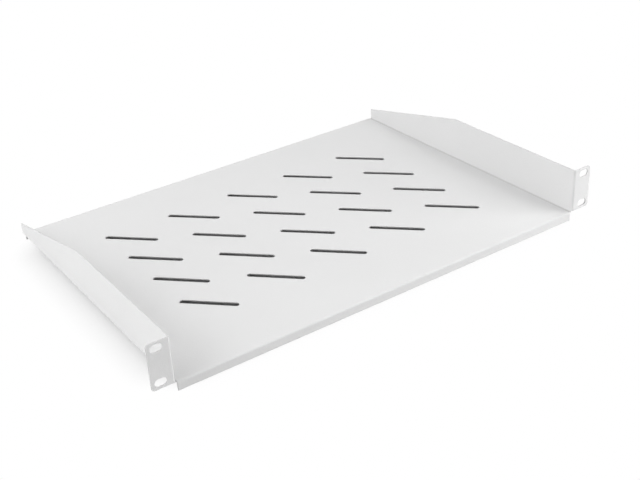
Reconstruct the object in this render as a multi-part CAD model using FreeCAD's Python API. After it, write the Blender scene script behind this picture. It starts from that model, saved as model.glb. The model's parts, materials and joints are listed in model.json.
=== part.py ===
"""Rack shelf, one height unit high, folded from a single steel sheet.

Millimetres. +X points right as seen from the front of the rack, +Y into the rack and +Z up.
The origin is the middle of the ear holes, on the plane where the ears' backs meet the rack's rails.
"""
import FreeCAD
import Part
import os

# Sheet and bends
SHEET = 1.2
BEND_RADIUS = 0.8  # inside radius of every fold
RELIEF_WIDTH = 1.2  # slits that part a lip from the side folds

# Ears and their holes
HOLE_SPACING_ACROSS = 465.1
HOLE_SPACING_UP = 31.75
HOLE_LENGTH = 11.0
HOLE_WIDTH = 7.0
HOLE_TO_TIP = 8.75  # gives the 482.6 panel width
HOLE_TO_WALL = 11.15  # to the outer face of the wall
HOLE_TO_EDGE = 5.975  # to the ear's upper or lower edge
EAR_CORNER_RADIUS = 3.0
EAR_RELIEF = 0.2  # between the ear's lower edge and the side fold

# Deck, walls and lips
DECK_DEPTH = 322.0  # over the outer faces of the lips
LIP_SETBACK = 1.2  # front lip behind the ears' front faces
LIP_HEIGHT = 8.8  # below the deck's top
WALL_LEVEL_LENGTH = 171.3  # of the walls' full height, from the ears' front faces
WALL_REAR_HEIGHT = 12.3  # above the deck's underside

# Slanted slots in the deck
SLOT_LENGTH = 54.6
SLOT_WIDTH = 5.5
SLOT_ANGLE = -45.0
SLOT_COLUMNS = 5
SLOT_ROWS = 4
SLOT_COLUMN_PITCH = 70.3
SLOT_ROW_PITCH = 50.9

# Places that follow from the sizes above
X_AXIS = FreeCAD.Vector(1, 0, 0)
Y_AXIS = FreeCAD.Vector(0, 1, 0)
Z_AXIS = FreeCAD.Vector(0, 0, 1)
OUTER_BEND = BEND_RADIUS + SHEET
PANEL_WIDTH = HOLE_SPACING_ACROSS + 2 * HOLE_TO_TIP
BODY_WIDTH = HOLE_SPACING_ACROSS - 2 * HOLE_TO_WALL
EAR_FRONT = -SHEET
EAR_TOP = HOLE_SPACING_UP / 2 + HOLE_TO_EDGE
EAR_BOTTOM = -EAR_TOP
DECK_BOTTOM = EAR_BOTTOM - EAR_RELIEF - OUTER_BEND
DECK_TOP = DECK_BOTTOM + SHEET
LIP_BOTTOM = DECK_TOP - LIP_HEIGHT
FRONT_FACE = EAR_FRONT + LIP_SETBACK
REAR_FACE = FRONT_FACE + DECK_DEPTH
FRONT_BEND_LINE = FRONT_FACE + OUTER_BEND
REAR_BEND_LINE = REAR_FACE - OUTER_BEND
SIDE_BEND_LINE = BODY_WIDTH / 2 - OUTER_BEND
RELIEF_OUTER = SIDE_BEND_LINE + BEND_RADIUS / 2
LIP_END = RELIEF_OUTER - RELIEF_WIDTH
WALL_FRONT = EAR_FRONT + OUTER_BEND
WALL_BREAK = EAR_FRONT + WALL_LEVEL_LENGTH
WALL_MIDDLE = BODY_WIDTH / 2 - SHEET / 2
DECK_MIDDLE = DECK_BOTTOM + SHEET / 2
EAR_MIDDLE = EAR_FRONT + SHEET / 2


def sheet_side(corners, normal, offset):
    """Edges of one side of the sheet: runs between the corners, each corner a right-angled round fold."""
    middle_radius = BEND_RADIUS + SHEET / 2
    edges = []
    ahead = (corners[1] - corners[0]).normalize()
    run_start = corners[0] + normal.cross(ahead) * offset
    for corner, after in zip(corners[1:], corners[2:]):
        onward = (after - corner).normalize()
        centre = corner + (onward - ahead) * middle_radius
        radius = middle_radius - offset * normal.dot(ahead.cross(onward))
        fold_start = centre - onward * radius
        fold_middle = centre + (ahead - onward).normalize() * radius
        fold_end = centre + ahead * radius
        edges.append(Part.LineSegment(run_start, fold_start).toShape())
        edges.append(Part.Arc(fold_start, fold_middle, fold_end).toShape())
        run_start = fold_end
        ahead = onward
    run_end = corners[-1] + normal.cross(ahead) * offset
    edges.append(Part.LineSegment(run_start, run_end).toShape())
    return edges


def folded_sheet(corners, extrusion):
    """Sheet whose middle runs through the corners, drawn out along the extrusion."""
    normal = FreeCAD.Vector(extrusion).normalize()
    left = sheet_side(corners, normal, SHEET / 2)
    right = sheet_side(corners, normal, -SHEET / 2)
    first_cap = Part.LineSegment(left[0].Vertexes[0].Point, right[0].Vertexes[0].Point).toShape()
    last_cap = Part.LineSegment(left[-1].Vertexes[-1].Point, right[-1].Vertexes[-1].Point).toShape()
    outline = Part.Wire(left + [last_cap] + right[::-1] + [first_cap])
    return Part.Face(outline).extrude(extrusion)


def obround(length, width, height):
    """Bar with round ends along X, standing on the XY plane and centred on Z."""
    reach = (length - width) / 2
    radius = width / 2
    corner = [
        FreeCAD.Vector(-reach, -radius, 0),
        FreeCAD.Vector(reach, -radius, 0),
        FreeCAD.Vector(reach, radius, 0),
        FreeCAD.Vector(-reach, radius, 0),
    ]
    right_end = FreeCAD.Vector(reach + radius, 0, 0)
    left_end = FreeCAD.Vector(-reach - radius, 0, 0)
    outline = Part.Wire([
        Part.LineSegment(corner[0], corner[1]).toShape(),
        Part.Arc(corner[1], right_end, corner[2]).toShape(),
        Part.LineSegment(corner[2], corner[3]).toShape(),
        Part.Arc(corner[3], left_end, corner[0]).toShape(),
    ])
    return Part.Face(outline).extrude(Z_AXIS * height)


def channel():
    """Deck and side walls as one fold along Y, with the walls' tops sloping down behind the break."""
    corners = [
        FreeCAD.Vector(-WALL_MIDDLE, WALL_FRONT, EAR_TOP),
        FreeCAD.Vector(-WALL_MIDDLE, WALL_FRONT, DECK_MIDDLE),
        FreeCAD.Vector(WALL_MIDDLE, WALL_FRONT, DECK_MIDDLE),
        FreeCAD.Vector(WALL_MIDDLE, WALL_FRONT, EAR_TOP),
    ]
    folded = folded_sheet(corners, Y_AXIS * (REAR_BEND_LINE - WALL_FRONT))
    left_face = -BODY_WIDTH / 2
    side_view = Part.makePolygon([
        FreeCAD.Vector(left_face, WALL_FRONT, DECK_BOTTOM),
        FreeCAD.Vector(left_face, REAR_BEND_LINE, DECK_BOTTOM),
        FreeCAD.Vector(left_face, REAR_BEND_LINE, DECK_BOTTOM + WALL_REAR_HEIGHT),
        FreeCAD.Vector(left_face, WALL_BREAK, EAR_TOP),
        FreeCAD.Vector(left_face, WALL_FRONT, EAR_TOP),
        FreeCAD.Vector(left_face, WALL_FRONT, DECK_BOTTOM),
    ])
    return folded.common(Part.Face(side_view).extrude(X_AXIS * BODY_WIDTH))


def lip_clearance():
    """Space that the side folds leave free at both lips, with the slits that part them from the lips."""
    height = EAR_BOTTOM - LIP_BOTTOM
    depth = FRONT_BEND_LINE - EAR_FRONT
    front_corner = FreeCAD.Vector(-RELIEF_OUTER, EAR_FRONT, LIP_BOTTOM)
    front = Part.makeBox(2 * RELIEF_OUTER, depth, height, front_corner)
    slit_ends = []
    for side in (-1, 1):
        for bend_line in (FRONT_BEND_LINE, REAR_BEND_LINE):
            slit_middle = side * (LIP_END + RELIEF_OUTER) / 2
            base = FreeCAD.Vector(slit_middle, bend_line, LIP_BOTTOM)
            slit_ends.append(Part.makeCylinder(RELIEF_WIDTH / 2, height, base))
    return front.fuse(slit_ends)


def lipped_deck():
    """Deck with the front and rear lips folded down, between the side folds."""
    front_middle = FRONT_FACE + SHEET / 2
    rear_middle = REAR_FACE - SHEET / 2
    corners = [
        FreeCAD.Vector(-LIP_END, front_middle, LIP_BOTTOM),
        FreeCAD.Vector(-LIP_END, front_middle, DECK_MIDDLE),
        FreeCAD.Vector(-LIP_END, rear_middle, DECK_MIDDLE),
        FreeCAD.Vector(-LIP_END, rear_middle, LIP_BOTTOM),
    ]
    return folded_sheet(corners, X_AXIS * 2 * LIP_END)


def ear(side):
    """Ear folded out from the level part of a wall, with its outer corners rounded."""
    corners = [
        FreeCAD.Vector(side * PANEL_WIDTH / 2, EAR_MIDDLE, EAR_BOTTOM),
        FreeCAD.Vector(side * WALL_MIDDLE, EAR_MIDDLE, EAR_BOTTOM),
        FreeCAD.Vector(side * WALL_MIDDLE, WALL_BREAK, EAR_BOTTOM),
    ]
    folded = folded_sheet(corners, Z_AXIS * (EAR_TOP - EAR_BOTTOM))
    tip_corners = []
    for edge in folded.Edges:
        at_tip = abs(edge.BoundBox.Center.x - side * PANEL_WIDTH / 2) < SHEET / 2
        along_thickness = abs(edge.BoundBox.YLength - SHEET) < SHEET / 2
        if at_tip and along_thickness:
            tip_corners.append(edge)
    return folded.makeFillet(EAR_CORNER_RADIUS, tip_corners)


def ear_holes():
    """Oblong screw holes through both ears."""
    holes = []
    for across in (-HOLE_SPACING_ACROSS / 2, HOLE_SPACING_ACROSS / 2):
        for up in (-HOLE_SPACING_UP / 2, HOLE_SPACING_UP / 2):
            hole = obround(HOLE_LENGTH, HOLE_WIDTH, SHEET)
            hole.rotate(FreeCAD.Vector(), X_AXIS, 90)
            hole.translate(FreeCAD.Vector(across, 0, up))
            holes.append(hole)
    return holes


def deck_slots():
    """Slanted slots in a grid about the deck's middle."""
    deck_middle = (FRONT_FACE + REAR_FACE) / 2
    slots = []
    for column in range(SLOT_COLUMNS):
        for row in range(SLOT_ROWS):
            slot = obround(SLOT_LENGTH, SLOT_WIDTH, SHEET)
            slot.rotate(FreeCAD.Vector(), Z_AXIS, SLOT_ANGLE)
            across = (column - (SLOT_COLUMNS - 1) / 2) * SLOT_COLUMN_PITCH
            along = deck_middle + (row - (SLOT_ROWS - 1) / 2) * SLOT_ROW_PITCH
            slot.translate(FreeCAD.Vector(across, along, DECK_BOTTOM))
            slots.append(slot)
    return slots


def shelf():
    """The whole folded sheet."""
    walls_and_deck = channel().cut(lip_clearance())
    sheet = walls_and_deck.fuse([lipped_deck(), ear(-1), ear(1)]).removeSplitter()
    return sheet.cut(ear_holes() + deck_slots())


os.makedirs("parts", exist_ok=True)
shelf().exportStep("parts/shelf.step")
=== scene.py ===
"""Rack shelf on a pale studio floor: one powder-coated sheet, cut flat and then folded.

Metres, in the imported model's frame: +X right as seen from the front of the rack, +Y into it, +Z up.
"""
import bmesh
import bpy
import json
import math
from mathutils import Matrix, Vector


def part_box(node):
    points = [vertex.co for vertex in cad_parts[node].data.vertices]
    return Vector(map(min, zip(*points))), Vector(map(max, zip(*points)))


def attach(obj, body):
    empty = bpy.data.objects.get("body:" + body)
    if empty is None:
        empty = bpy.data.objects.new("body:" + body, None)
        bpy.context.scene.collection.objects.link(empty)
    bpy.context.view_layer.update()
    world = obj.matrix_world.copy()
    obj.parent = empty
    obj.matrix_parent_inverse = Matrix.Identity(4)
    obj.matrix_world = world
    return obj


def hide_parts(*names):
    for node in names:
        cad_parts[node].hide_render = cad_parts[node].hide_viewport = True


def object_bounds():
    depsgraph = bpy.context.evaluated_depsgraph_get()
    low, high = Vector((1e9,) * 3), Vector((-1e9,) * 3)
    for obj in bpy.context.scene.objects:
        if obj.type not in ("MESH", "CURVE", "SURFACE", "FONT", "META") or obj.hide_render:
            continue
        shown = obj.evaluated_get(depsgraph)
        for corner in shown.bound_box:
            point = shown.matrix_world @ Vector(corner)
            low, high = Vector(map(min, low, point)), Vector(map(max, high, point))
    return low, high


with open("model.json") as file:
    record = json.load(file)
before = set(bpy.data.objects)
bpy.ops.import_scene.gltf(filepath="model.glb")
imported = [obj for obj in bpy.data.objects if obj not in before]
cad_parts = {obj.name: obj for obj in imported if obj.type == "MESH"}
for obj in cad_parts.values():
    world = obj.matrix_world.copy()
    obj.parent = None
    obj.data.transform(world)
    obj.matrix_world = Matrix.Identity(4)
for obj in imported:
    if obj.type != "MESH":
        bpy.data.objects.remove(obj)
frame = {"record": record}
cad_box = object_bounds()
shelf_low, shelf_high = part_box("shelf")
mounts = {mount["name"]: mount for mount in frame["record"]["mounts"]}
hole_pattern = mounts["rack_holes"]["dims"]

MM = 0.001
ACROSS = Vector((1, 0, 0))
ALONG = Vector((0, 1, 0))

# Sheet, folds and cut edges
SHEET = 1.2 * MM
BEND_RADIUS = 0.8 * MM  # inside every fold
FOLD_RADIUS = BEND_RADIUS + SHEET / 2  # of the sheet's middle
FOLD_LENGTH = FOLD_RADIUS * math.pi / 2
FOLD_STEPS = 10
RELIEF_WIDTH = 1.2 * MM  # slits that part a lip from the side folds
ROUND_STEPS = 10  # in half a circle of an outline
EDGE_RADIUS = 0.25 * MM  # where a cut edge meets a face
EDGE_STEPS = 3
CUT_TOLERANCE = 0.001 * MM  # within which a point counts as lying on a cut
FLAT_FACE_WEIGHT = 100  # of large faces in the shading, the most there is

# Painted shade in the hollow of each fold, and a thinner, darker coat on cut edges, as an attribute of
# the sheet's points
CREASE_SHADE_AND_THIN_EDGE = "crease_shade_and_thin_edge"  # zero on open faces, one where the painted shade is darkest in the hollow of a fold
EDGE_THINNESS = 0.8  # on a cut edge
CREASE_SHADE_REACH = 2.0 * MM  # how far ahead of a fold's first line the painted shade begins

# Ears and their holes
HOLE_SPACING_ACROSS = hole_pattern["spacing_x_mm"] * MM
HOLE_SPACING_UP = hole_pattern["spacing_y_mm"] * MM
HOLE_WIDTH = 2 * hole_pattern["hole_r_mm"] * MM
HOLE_LENGTH = hole_pattern["slot_length_mm"] * MM
HOLE_TO_WALL = 11.15 * MM  # to the outer face of the wall
EAR_CORNER_RADIUS = 3.0 * MM

# Walls, lips and deck
LIP_SETBACK = 1.2 * MM  # front lip behind the ears' front faces
WALL_LEVEL_LENGTH = 171.3 * MM  # from the ears' front faces
WALL_REAR_HEIGHT = 12.3 * MM  # above the deck's underside
SLOT_LENGTH = 54.6 * MM
SLOT_WIDTH = 5.5 * MM
SLOT_ANGLE = -45.0
SLOT_COLUMNS = 5
SLOT_ROWS = 4
SLOT_COLUMN_PITCH = 70.3 * MM
SLOT_ROW_PITCH = 50.9 * MM

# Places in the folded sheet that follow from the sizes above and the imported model
EAR_FRONT = shelf_low.y
EAR_TOP = shelf_high.z
DECK_HEIGHT = mounts["deck_top"]["pos_m"][2] - SHEET / 2  # of the sheet's middle
WALL_PLACE = HOLE_SPACING_ACROSS / 2 - HOLE_TO_WALL - SHEET / 2  # of the sheet's middle
SIDE_LINE = WALL_PLACE - FOLD_RADIUS
RELIEF_OUTER = SIDE_LINE + BEND_RADIUS / 2
RELIEF_MIDDLE = RELIEF_OUTER - RELIEF_WIDTH / 2
LIP_END = RELIEF_OUTER - RELIEF_WIDTH
EAR_LINE = EAR_FRONT + SHEET / 2 + FOLD_RADIUS
FRONT_LINE = EAR_LINE + LIP_SETBACK
REAR_LINE = shelf_high.y - SHEET / 2 - FOLD_RADIUS
WALL_BREAK = EAR_FRONT + WALL_LEVEL_LENGTH


def flat_wall(height):
    """Place across the flat sheet of a height on the right wall."""
    return SIDE_LINE + FOLD_LENGTH + height - (DECK_HEIGHT + FOLD_RADIUS)


def flat_ear(across):
    """Place along the flat sheet of a distance to the right on the right ear."""
    return EAR_LINE - FOLD_LENGTH - (across - (WALL_PLACE + FOLD_RADIUS))


def arc(centre, radius, start, end):
    """Points on a circle from one angle to another, in degrees."""
    steps = round(ROUND_STEPS * abs(end - start) / 180)
    points = []
    for step in range(steps + 1):
        angle = math.radians(start + (end - start) * step / steps)
        points.append(centre + Vector((math.cos(angle), math.sin(angle))) * radius)
    return points


def right_outline():
    """Right half of the flat sheet's outline, from the front lip's edge round to the rear lip's."""
    lip_length = FOLD_LENGTH + DECK_HEIGHT - FOLD_RADIUS - shelf_low.z
    ear_low = flat_wall(-EAR_TOP)
    ear_high = flat_wall(EAR_TOP)
    ear_tip = flat_ear(shelf_high.x)
    wall_rear = flat_wall(DECK_HEIGHT - SHEET / 2 + WALL_REAR_HEIGHT)
    low_corner = Vector((ear_low + EAR_CORNER_RADIUS, ear_tip + EAR_CORNER_RADIUS))
    high_corner = Vector((ear_high - EAR_CORNER_RADIUS, ear_tip + EAR_CORNER_RADIUS))
    points = [Vector((LIP_END, FRONT_LINE - lip_length))]
    points += arc(Vector((RELIEF_MIDDLE, FRONT_LINE)), RELIEF_WIDTH / 2, 180, 0)
    points.append(Vector((RELIEF_OUTER, EAR_LINE)))
    points.append(Vector((ear_low, EAR_LINE)))
    points += arc(low_corner, EAR_CORNER_RADIUS, 180, 270)
    points += arc(high_corner, EAR_CORNER_RADIUS, 270, 360)
    points.append(Vector((ear_high, WALL_BREAK)))
    points.append(Vector((wall_rear, REAR_LINE)))
    points += arc(Vector((RELIEF_MIDDLE, REAR_LINE)), RELIEF_WIDTH / 2, 0, -180)
    points.append(Vector((LIP_END, REAR_LINE + lip_length)))
    return points


def sheet_outline():
    """The flat sheet's whole outline, anticlockwise."""
    right = right_outline()
    left = [Vector((-point.x, point.y)) for point in reversed(right)]
    return right + left


def oblong(centre, length, width, angle):
    """Clockwise outline of a hole with round ends."""
    along = Vector((math.cos(math.radians(angle)), math.sin(math.radians(angle))))
    reach = along * (length - width) / 2
    far_end = arc(centre + reach, width / 2, angle + 90, angle - 90)
    near_end = arc(centre - reach, width / 2, angle - 90, angle - 270)
    return far_end + near_end


def ear_holes():
    """Oblong screw holes, whose long sides run along the flat ears."""
    holes = []
    for side in (-1, 1):
        for height in (-HOLE_SPACING_UP / 2, HOLE_SPACING_UP / 2):
            centre = Vector((side * flat_wall(height), flat_ear(HOLE_SPACING_ACROSS / 2)))
            holes.append(oblong(centre, HOLE_LENGTH, HOLE_WIDTH, 90))
    return holes


def deck_slots():
    """Slanted slots in a grid about the deck's middle."""
    deck_middle = (EAR_FRONT + LIP_SETBACK + shelf_high.y) / 2
    slots = []
    for column in range(SLOT_COLUMNS):
        for row in range(SLOT_ROWS):
            across = (column - (SLOT_COLUMNS - 1) / 2) * SLOT_COLUMN_PITCH
            along = deck_middle + (row - (SLOT_ROWS - 1) / 2) * SLOT_ROW_PITCH
            slots.append(oblong(Vector((across, along)), SLOT_LENGTH, SLOT_WIDTH, SLOT_ANGLE))
    return slots


def inward(outline):
    """Mitred direction into the sheet at each point of an outline, for a unit inset."""
    directions = []
    for before, point, after in zip(outline[-1:] + outline[:-1], outline, outline[1:] + outline[:1]):
        first = (point - before).normalized().orthogonal()
        second = (after - point).normalized().orthogonal()
        directions.append((first + second) / (1 + first.dot(second)))
    return directions


def edge_profile():
    """Inset and height of each step round a cut edge, from the upper face to the lower one."""
    upper = []
    for step in range(EDGE_STEPS + 1):
        angle = math.pi / 2 * step / EDGE_STEPS
        inset = EDGE_RADIUS * (1 - math.sin(angle))
        height = SHEET / 2 - EDGE_RADIUS * (1 - math.cos(angle))
        upper.append((inset, height))
    lower = [(inset, -height) for inset, height in reversed(upper)]
    return upper + lower


def cut_edge(sheet, outline):
    """Adds the rounded cut edge along an outline, as rings of points from the upper face down."""
    crease_shade_and_thin_edge = sheet.verts.layers.float[CREASE_SHADE_AND_THIN_EDGE]
    rings = []
    for inset, height in edge_profile():
        ring = []
        for point, direction in zip(outline, inward(outline)):
            vertex = sheet.verts.new((*(point + direction * inset), height))
            vertex[crease_shade_and_thin_edge] = EDGE_THINNESS * (1 - inset / EDGE_RADIUS)
            ring.append(vertex)
        rings.append(ring)
    for upper, lower in zip(rings, rings[1:]):
        for here, there in zip(range(-1, len(outline) - 1), range(len(outline))):
            sheet.faces.new((upper[here], lower[here], lower[there], upper[there]))
    return rings


def ring_edges(sheet, ring):
    """The sheet's edges between neighbouring points of a closed ring."""
    return [sheet.edges.get(pair) for pair in zip(ring[-1:] + ring[:-1], ring)]


def flat_sheet():
    """Flat sheet with its holes and rounded cut edges, lying about height zero."""
    sheet = bmesh.new()
    sheet.verts.layers.float.new(CREASE_SHADE_AND_THIN_EDGE)
    upper_edges = []
    lower_edges = []
    for outline in [sheet_outline()] + ear_holes() + deck_slots():
        rings = cut_edge(sheet, outline)
        upper_edges += ring_edges(sheet, rings[0])
        lower_edges += ring_edges(sheet, rings[-1])
    for edges in (upper_edges, lower_edges):
        bmesh.ops.triangle_fill(sheet, use_beauty=True, edges=edges)
    return sheet


def cut_across(sheet, axis, line, onward):
    """Cuts the flat sheet in even steps where it will fold, and twice ahead of it where the painted
    shade begins.
    """
    fold_steps = [FOLD_LENGTH * step / FOLD_STEPS for step in range(FOLD_STEPS + 1)]
    for distance in [-CREASE_SHADE_REACH, -CREASE_SHADE_REACH / 2] + fold_steps:
        place = axis * (line + onward * distance)
        geometry = sheet.verts[:] + sheet.edges[:] + sheet.faces[:]
        bmesh.ops.bisect_plane(sheet, geom=geometry, dist=CUT_TOLERANCE, plane_co=place, plane_no=axis)


def past_fold(distance, height):
    """Where a point of the sheet comes to lie in a right-angled fold: onward, and up.

    The distance is past the fold's first line and the height above the sheet's middle.
    """
    if distance <= 0:
        return distance, height
    if distance >= FOLD_LENGTH:
        return FOLD_RADIUS - height, FOLD_RADIUS + distance - FOLD_LENGTH
    angle = distance / FOLD_RADIUS
    radius = FOLD_RADIUS - height
    return radius * math.sin(angle), FOLD_RADIUS - radius * math.cos(angle)


def folded(point):
    """Place in the finished shelf of a point of the flat sheet."""
    across, along, height = point
    between_slits = abs(across) < RELIEF_MIDDLE
    if along < FRONT_LINE and between_slits:
        forward, down = past_fold(FRONT_LINE - along, -height)
        return Vector((across, FRONT_LINE - forward, DECK_HEIGHT - down))
    if along > REAR_LINE and between_slits:
        backward, down = past_fold(along - REAR_LINE, -height)
        return Vector((across, REAR_LINE + backward, DECK_HEIGHT - down))
    side = math.copysign(1, across)
    if abs(across) > SIDE_LINE + FOLD_LENGTH:
        up = FOLD_RADIUS + abs(across) - SIDE_LINE - FOLD_LENGTH
        forward, outward = past_fold(EAR_LINE - along, -height)
        return Vector((side * (WALL_PLACE + outward), EAR_LINE - forward, DECK_HEIGHT + up))
    outward, up = past_fold(abs(across) - SIDE_LINE, height)
    return Vector((side * (SIDE_LINE + outward), along, DECK_HEIGHT + up))


def fold_share(distance):
    """One about a fold's first line, falling to zero a little ahead of it and on the last line."""
    share = (distance + CREASE_SHADE_REACH) / (FOLD_LENGTH + CREASE_SHADE_REACH)
    if not 0 < share < 1:
        return 0
    return math.sin(math.pi * share)


def painted_crease_shade(point):
    """Painted shade in the inside of a fold at a point of the flat sheet, from zero to one."""
    across, along, height = point
    if height > 0:
        return fold_share(abs(across) - SIDE_LINE)
    if abs(across) > SIDE_LINE + FOLD_LENGTH:
        return fold_share(EAR_LINE - along)
    if abs(across) < RELIEF_MIDDLE:
        return max(fold_share(FRONT_LINE - along), fold_share(along - REAR_LINE))
    return 0


def folded_sheet():
    """The shelf: the flat sheet with walls folded up, ears folded out and lips folded down."""
    sheet = flat_sheet()
    for side in (-1, 1):
        cut_across(sheet, ACROSS, side * SIDE_LINE, side)
    cut_across(sheet, ALONG, FRONT_LINE, -1)
    cut_across(sheet, ALONG, EAR_LINE, -1)
    cut_across(sheet, ALONG, REAR_LINE, 1)
    crease_shade_and_thin_edge = sheet.verts.layers.float[CREASE_SHADE_AND_THIN_EDGE]
    for vertex in sheet.verts:
        # painted shade in the hollow of a fold, unless the cut edge is already darker
        vertex[crease_shade_and_thin_edge] = max(vertex[crease_shade_and_thin_edge], painted_crease_shade(vertex.co))
        vertex.co = folded(vertex.co)
    bmesh.ops.recalc_face_normals(sheet, faces=sheet.faces[:])
    mesh = bpy.data.meshes.new("folded_sheet")
    sheet.to_mesh(mesh)
    sheet.free()
    mesh.shade_smooth()
    piece = bpy.data.objects.new("folded_sheet", mesh)
    bpy.context.scene.collection.objects.link(piece)
    shading = piece.modifiers.new("flat_faces", "WEIGHTED_NORMAL")
    shading.weight = FLAT_FACE_WEIGHT
    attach(piece, "root")
    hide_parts("shelf")
    return piece


# Powder coat
COAT_GREY = 0.80
COAT_SHADE_SPREAD = 0.012  # either way, in slow clouds over the sheet
COAT_SPECK_SPREAD = 0.02  # either way, from grain to grain
SHADE_AND_THIN_EDGE_GREY = 0.68  # painted shade at its darkest in the hollow of a fold, and the thin coat on a cut edge
COAT_ROUGHNESS = 0.72
COAT_ROUGHNESS_SPREAD = 0.08  # either way, with the orange peel
COAT_SPECULAR = 0.3
CLOUD_SIZE = 120 * MM
CLOUD_DETAIL = 3
PEEL_SIZE = 1.6 * MM
PEEL_DETAIL = 2
PEEL_DEPTH = 0.08 * MM
GRAIN_SIZE = 0.4 * MM
GRAIN_DETAIL = 1
GRAIN_DEPTH = 0.02 * MM
NOISE_LOW = 0.25  # most of a noise's values lie between these two
NOISE_HIGH = 0.75


def noise(nodes, links, place, size, detail):
    """Noise with lumps of the given size."""
    texture = nodes.new("ShaderNodeTexNoise")
    texture.inputs["Scale"].default_value = 1 / size
    texture.inputs["Detail"].default_value = detail
    links.new(place, texture.inputs["Vector"])
    return texture.outputs["Fac"]


def spread_about(nodes, links, value, middle, spread):
    """A noise value drawn out to run from the spread below a middle to the spread above it."""
    drawn_out = nodes.new("ShaderNodeMapRange")
    drawn_out.inputs["From Min"].default_value = NOISE_LOW
    drawn_out.inputs["From Max"].default_value = NOISE_HIGH
    drawn_out.inputs["To Min"].default_value = middle - spread
    drawn_out.inputs["To Max"].default_value = middle + spread
    links.new(value, drawn_out.inputs["Value"])
    return drawn_out.outputs["Result"]


def raised(nodes, links, height, depth, below=None):
    """Normal of a surface raised by up to the given depth, over any bumps below it."""
    bump = nodes.new("ShaderNodeBump")
    bump.inputs["Strength"].default_value = 1.0
    bump.inputs["Distance"].default_value = depth
    links.new(height, bump.inputs["Height"])
    if below:
        links.new(below, bump.inputs["Normal"])
    return bump.outputs["Normal"]


def powder_coat():
    """Fine matt powder coat with clouds, specks, orange peel and grain, thinner and darker on cut
    edges, with painted shade in the hollows of folds.
    """
    material = bpy.data.materials.new("powder_coat")
    material.use_nodes = True
    nodes = material.node_tree.nodes
    links = material.node_tree.links
    shader = nodes["Principled BSDF"]
    place = nodes.new("ShaderNodeTexCoord").outputs["Object"]
    cloud = noise(nodes, links, place, CLOUD_SIZE, CLOUD_DETAIL)
    peel = noise(nodes, links, place, PEEL_SIZE, PEEL_DETAIL)
    grain = noise(nodes, links, place, GRAIN_SIZE, GRAIN_DETAIL)

    shade = nodes.new("ShaderNodeMath")
    shade.operation = "ADD"
    links.new(spread_about(nodes, links, cloud, COAT_GREY, COAT_SHADE_SPREAD), shade.inputs[0])
    links.new(spread_about(nodes, links, grain, 0, COAT_SPECK_SPREAD), shade.inputs[1])

    # darker colour for the thin coat on cut edges, and painted shade in the hollows of folds
    crease_shade_and_thin_edge = nodes.new("ShaderNodeAttribute")
    crease_shade_and_thin_edge.attribute_name = CREASE_SHADE_AND_THIN_EDGE
    colour = nodes.new("ShaderNodeMix")
    colour.data_type = "RGBA"
    colour.inputs["B"].default_value = (SHADE_AND_THIN_EDGE_GREY, SHADE_AND_THIN_EDGE_GREY, SHADE_AND_THIN_EDGE_GREY, 1)
    links.new(crease_shade_and_thin_edge.outputs["Fac"], colour.inputs["Factor"])
    links.new(shade.outputs["Value"], colour.inputs["A"])
    links.new(colour.outputs["Result"], shader.inputs["Base Color"])

    roughness = spread_about(nodes, links, peel, COAT_ROUGHNESS, COAT_ROUGHNESS_SPREAD)
    links.new(roughness, shader.inputs["Roughness"])
    shader.inputs["Specular IOR Level"].default_value = COAT_SPECULAR
    peel_normal = raised(nodes, links, peel, PEEL_DEPTH)
    links.new(raised(nodes, links, grain, GRAIN_DEPTH, peel_normal), shader.inputs["Normal"])
    return material


# Camera that took the picture, from the outline of the shelf
CAMERA_PLACE = Vector((-494.92, -627.89, 472.57)) * MM
CAMERA_AZIMUTH = -32.506
CAMERA_ELEVATION = 29.001  # down from level
CAMERA_ROLL = -3.830
LENS = 59.73  # in millimetres, as is the sensor
SENSOR_WIDTH = 36.0
FRAME_SHIFT = 0.0297  # sideways, as a share of the picture's width
NEAREST_SEEN = 10 * MM


def camera():
    """Camera at the photograph's viewpoint."""
    data = bpy.data.cameras.new("camera")
    data.sensor_width = SENSOR_WIDTH
    data.lens = LENS
    data.shift_x = FRAME_SHIFT
    data.clip_start = NEAREST_SEEN
    viewpoint = bpy.data.objects.new("camera", data)
    azimuth = Matrix.Rotation(math.radians(CAMERA_AZIMUTH), 4, "Z")
    elevation = Matrix.Rotation(math.radians(90 - CAMERA_ELEVATION), 4, "X")
    roll = Matrix.Rotation(math.radians(CAMERA_ROLL), 4, "Z")
    viewpoint.matrix_world = Matrix.Translation(CAMERA_PLACE) @ azimuth @ elevation @ roll
    bpy.context.scene.collection.objects.link(viewpoint)
    bpy.context.scene.camera = viewpoint


# Studio: floor, surroundings and softboxes
FLOOR_REACH = 4.0  # each way from the origin
FLOOR_COLOUR = (0.75, 0.75, 0.75, 1)
FLOOR_ROUGHNESS = 0.9
SHADOW_START = 0.05  # where the shadow begins to fade, inside the shelf's outline
SHADOW_FADE = 0.06  # from there to plain white
WHITE = (1, 1, 1, 1)
FILL_STRENGTH = 0.1
LIGHT_TARGET = Vector((0, 160, -20)) * MM  # near the deck's middle
SOFTBOXES = {
    "left": {"place": (-1.6, 0.1, 0.8), "width": 1.8, "watts": 15.4},
    "left_top": {"place": (-0.75, 0.2, 1.7), "width": 0.8, "watts": 6.1},
    "left_back": {"place": (-1.2, 1.1, 1.1), "width": 1.0, "watts": 7.5},
    "right_high": {"place": (1.3, 0.2, 1.3), "width": 0.9, "watts": 3.5},
    "right_top": {"place": (0.75, 0.2, 1.7), "width": 0.8, "watts": 7.3},
    "front_right": {"place": (1.1, -1.1, 0.7), "width": 1.4, "watts": 15.8},
    "low_right": {"place": (0.9, -0.5, 0.15), "width": 0.3, "watts": 1.7},
}


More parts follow.
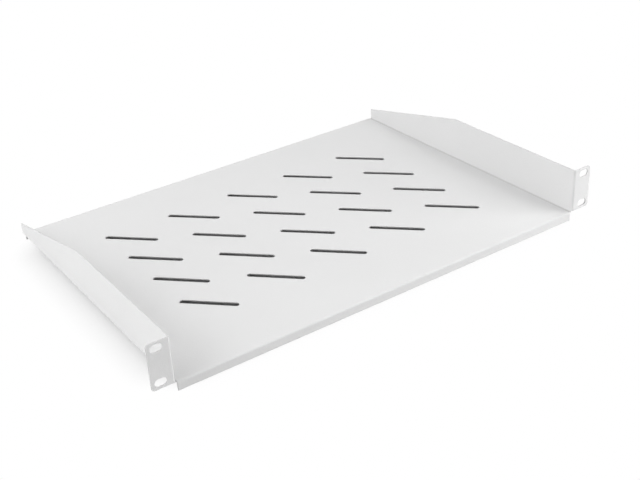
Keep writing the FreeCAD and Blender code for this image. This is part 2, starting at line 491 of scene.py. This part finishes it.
def sight(nodes, links):
    """One for what is seen directly, in a reflection or through something, and zero for other light."""
    path = nodes.new("ShaderNodeLightPath")
    seen = path.outputs["Is Camera Ray"]
    for kind in ("Is Glossy Ray", "Is Transmission Ray"):
        either = nodes.new("ShaderNodeMath")
        either.operation = "MAXIMUM"
        links.new(seen, either.inputs[0])
        links.new(path.outputs[kind], either.inputs[1])
        seen = either.outputs["Value"]
    return seen


def open_floor(nodes, links):
    """Zero under the shelf, rising to one where its shadow has faded."""
    footprint = (cad_box[1] - cad_box[0]) / 2 - Vector((SHADOW_START, SHADOW_START, 0))
    middle = (cad_box[1] + cad_box[0]) / 2
    place = nodes.new("ShaderNodeTexCoord").outputs["Object"]
    steps = (("SUBTRACT", middle), ("ABSOLUTE", None), ("SUBTRACT", footprint), ("MAXIMUM", Vector()))
    for operation, other in steps:
        step = nodes.new("ShaderNodeVectorMath")
        step.operation = operation
        links.new(place, step.inputs[0])
        if other is not None:
            step.inputs[1].default_value = other
        place = step.outputs["Vector"]
    distance = nodes.new("ShaderNodeVectorMath")
    distance.operation = "LENGTH"
    links.new(place, distance.inputs[0])
    rise = nodes.new("ShaderNodeMapRange")
    rise.interpolation_type = "SMOOTHSTEP"
    rise.inputs["From Max"].default_value = SHADOW_FADE
    links.new(distance.outputs["Value"], rise.inputs["Value"])
    return rise.outputs["Result"]


def floor_material():
    """Pale matt floor, plain white to sight away from the shelf, that keeps the shadow beside it."""
    material = bpy.data.materials.new("floor")
    material.use_nodes = True
    nodes = material.node_tree.nodes
    links = material.node_tree.links
    shader = nodes["Principled BSDF"]
    shader.inputs["Base Color"].default_value = FLOOR_COLOUR
    shader.inputs["Roughness"].default_value = FLOOR_ROUGHNESS
    white = nodes.new("ShaderNodeEmission")
    white.inputs["Color"].default_value = WHITE
    share = nodes.new("ShaderNodeMath")
    share.operation = "MULTIPLY"
    links.new(sight(nodes, links), share.inputs[0])
    links.new(open_floor(nodes, links), share.inputs[1])
    mix = nodes.new("ShaderNodeMixShader")
    links.new(share.outputs["Value"], mix.inputs["Fac"])
    links.new(shader.outputs["BSDF"], mix.inputs[1])
    links.new(white.outputs["Emission"], mix.inputs[2])
    links.new(mix.outputs["Shader"], nodes["Material Output"].inputs["Surface"])
    return material


def floor():
    """Floor at the lips' lower edges."""
    mesh = bpy.data.meshes.new("floor")
    signs = [(-1, -1), (1, -1), (1, 1), (-1, 1)]
    corners = [(x * FLOOR_REACH, y * FLOOR_REACH, shelf_low.z) for x, y in signs]
    mesh.from_pydata(corners, [], [(0, 1, 2, 3)])
    mesh.materials.append(floor_material())
    piece = bpy.data.objects.new("floor", mesh)
    bpy.context.scene.collection.objects.link(piece)


def surroundings():
    """White where the camera sees past the floor, with a faint even fill for the rest."""
    world = bpy.data.worlds.new("studio")
    world.use_nodes = True
    nodes = world.node_tree.nodes
    links = world.node_tree.links
    fill = nodes["Background"]
    fill.inputs["Color"].default_value = WHITE
    fill.inputs["Strength"].default_value = FILL_STRENGTH
    backdrop = nodes.new("ShaderNodeBackground")
    backdrop.inputs["Color"].default_value = WHITE
    mix = nodes.new("ShaderNodeMixShader")
    links.new(sight(nodes, links), mix.inputs["Fac"])
    links.new(fill.outputs["Background"], mix.inputs[1])
    links.new(backdrop.outputs["Background"], mix.inputs[2])
    links.new(mix.outputs["Shader"], nodes["World Output"].inputs["Surface"])
    bpy.context.scene.world = world


def softbox(name, place, width, watts):
    """Round soft light aimed at the shelf's middle."""
    data = bpy.data.lights.new(name, "AREA")
    data.shape = "DISK"
    data.size = width
    data.energy = watts
    lamp = bpy.data.objects.new(name, data)
    lamp.location = place
    lamp.rotation_mode = "QUATERNION"
    lamp.rotation_quaternion = (LIGHT_TARGET - lamp.location).to_track_quat("-Z", "Y")
    bpy.context.scene.collection.objects.link(lamp)


bpy.context.scene.view_settings.view_transform = "Standard"
shelf = folded_sheet()
shelf.data.materials.append(powder_coat())
floor()
surroundings()
for name, facts in SOFTBOXES.items():
    softbox(name, **facts)
camera()
